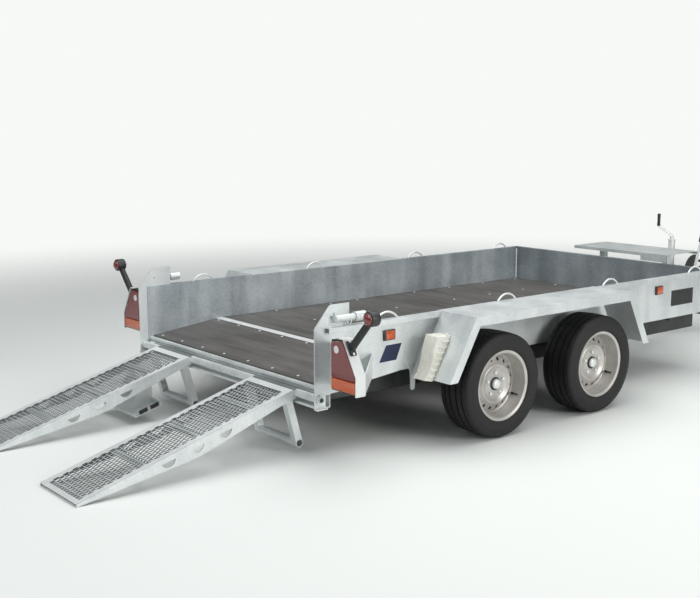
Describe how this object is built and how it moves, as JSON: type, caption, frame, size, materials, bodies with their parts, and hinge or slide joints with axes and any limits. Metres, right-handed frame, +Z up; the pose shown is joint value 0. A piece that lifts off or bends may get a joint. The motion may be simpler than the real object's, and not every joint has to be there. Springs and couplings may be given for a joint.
{
  "type": "plant trailer",
  "caption": "Low tandem-axle plant trailer with galvanised sides, a sloping tail, hinged mesh ramps, a braked ball coupling and a jockey wheel.",
  "frame": {"origin": "on the floor under the middle of the whole trailer, ramps down", "axes": "+Y forwards to the coupling, +X right, +Z up"},
  "size_m": [2.322, 5.5345, 0.852],
  "materials": {
    "zinc": "hot-dip galvanised, mottled",
    "plywood": "dark film-faced plywood",
    "tyre": "matt black",
    "rim": "silver-grey satin",
    "lamp": "red lens",
    "amber": "orange reflector",
    "rubber": "matt black",
    "chock": "off-white",
    "black": "black",
    "jockey_rubber": "matt black",
    "cast": "zinc plated casting"
  },
  "bodies": {
    "trailer": {"axle_front": "zinc", "axle_rear": "zinc", "brake_quadrant": "black", "bucket_rest": "zinc", "chassis_beam_left": "zinc", "chassis_beam_right": "zinc", "corner_post_left": "zinc", "corner_post_right": "zinc", "coupling_handle": "black", "coupling_head": "cast", "crossmembers": "zinc", "deck_main": "plywood", "deck_strip": "zinc", "deck_tail": "plywood", "drawbar_left": "zinc", "drawbar_right": "zinc", "fender_left": "zinc", "fender_right": "zinc", "front_board": "zinc", "gaiter": "rubber", "handbrake_lever": "zinc", "hinge_tube": "zinc", "hoops_left": "zinc", "hoops_right": "zinc", "jockey_clamp": "zinc", "lamp_guard_left": "zinc", "lamp_guard_right": "zinc", "lamp_left": "lamp", "lamp_right": "lamp", "lug_plates": "zinc", "marker_left": "rubber", "marker_right": "rubber", "overrun_housing": "zinc", "ramp_latches": "zinc", "rear_channel": "zinc", "rear_edge_bar": "zinc", "side_left": "zinc", "side_markers": "amber", "side_right": "zinc", "wheel_chocks": "chock"},
    "wheel_front_left": {"tyre_front_left": "tyre", "rim_front_left": "rim"},
    "wheel_front_right": {"tyre_front_right": "tyre", "rim_front_right": "rim"},
    "wheel_rear_left": {"tyre_rear_left": "tyre", "rim_rear_left": "rim"},
    "wheel_rear_right": {"tyre_rear_right": "tyre", "rim_rear_right": "rim"},
    "ramp_left": {"ramp_frame_left": "zinc", "ramp_leg_left": "zinc", "ramp_tread_left": "zinc", "plate_carrier": "zinc"},
    "ramp_right": {"ramp_frame_right": "zinc", "ramp_leg_right": "zinc", "ramp_tread_right": "zinc"},
    "jockey_outer": {"jockey_tube": "zinc", "jockey_crank": "zinc"},
    "jockey_inner": {"jockey_leg": "zinc"},
    "jockey_swivel": {"jockey_fork": "zinc"},
    "jockey_roller": {"jockey_wheel": "jockey_rubber"}
  },
  "joints": [
    {"name": "wheel_rear_left_spin", "type": "hinge", "parent": "trailer", "child": "wheel_rear_left", "pos_m": [-0.965, -0.714, 0.2625], "axis": [1, 0, 0], "continuous": true},
    {"name": "wheel_rear_right_spin", "type": "hinge", "parent": "trailer", "child": "wheel_rear_right", "pos_m": [0.965, -0.714, 0.2625], "axis": [1, 0, 0], "continuous": true},
    {"name": "wheel_front_left_spin", "type": "hinge", "parent": "trailer", "child": "wheel_front_left", "pos_m": [-0.965, 0.034, 0.2625], "axis": [1, 0, 0], "continuous": true},
    {"name": "wheel_front_right_spin", "type": "hinge", "parent": "trailer", "child": "wheel_front_right", "pos_m": [0.965, 0.034, 0.2625], "axis": [1, 0, 0], "continuous": true},
    {"name": "ramp_left_hinge", "type": "hinge", "parent": "trailer", "child": "ramp_left", "pos_m": [-0.459, -1.653, 0.296], "axis": [-1, 0, 0], "range_deg": [0, 105.5]},
    {"name": "ramp_right_hinge", "type": "hinge", "parent": "trailer", "child": "ramp_right", "pos_m": [0.459, -1.653, 0.296], "axis": [-1, 0, 0], "range_deg": [0, 105.5]},
    {"name": "jockey_clamp_slide", "type": "slide", "parent": "trailer", "child": "jockey_outer", "axis": [0, 0, 1], "range_m": [0, 0.09]},
    {"name": "jockey_winding", "type": "slide", "parent": "jockey_outer", "child": "jockey_inner", "axis": [0, 0, 1], "range_m": [0, 0.05]},
    {"name": "jockey_swivel_turn", "type": "hinge", "parent": "jockey_inner", "child": "jockey_swivel", "pos_m": [-0.17, 2.437, 0.224], "axis": [0, 0, 1], "continuous": true},
    {"name": "jockey_wheel_spin", "type": "hinge", "parent": "jockey_swivel", "child": "jockey_roller", "pos_m": [-0.17, 2.407, 0.1], "axis": [1, 0, 0], "continuous": true}
  ]
}
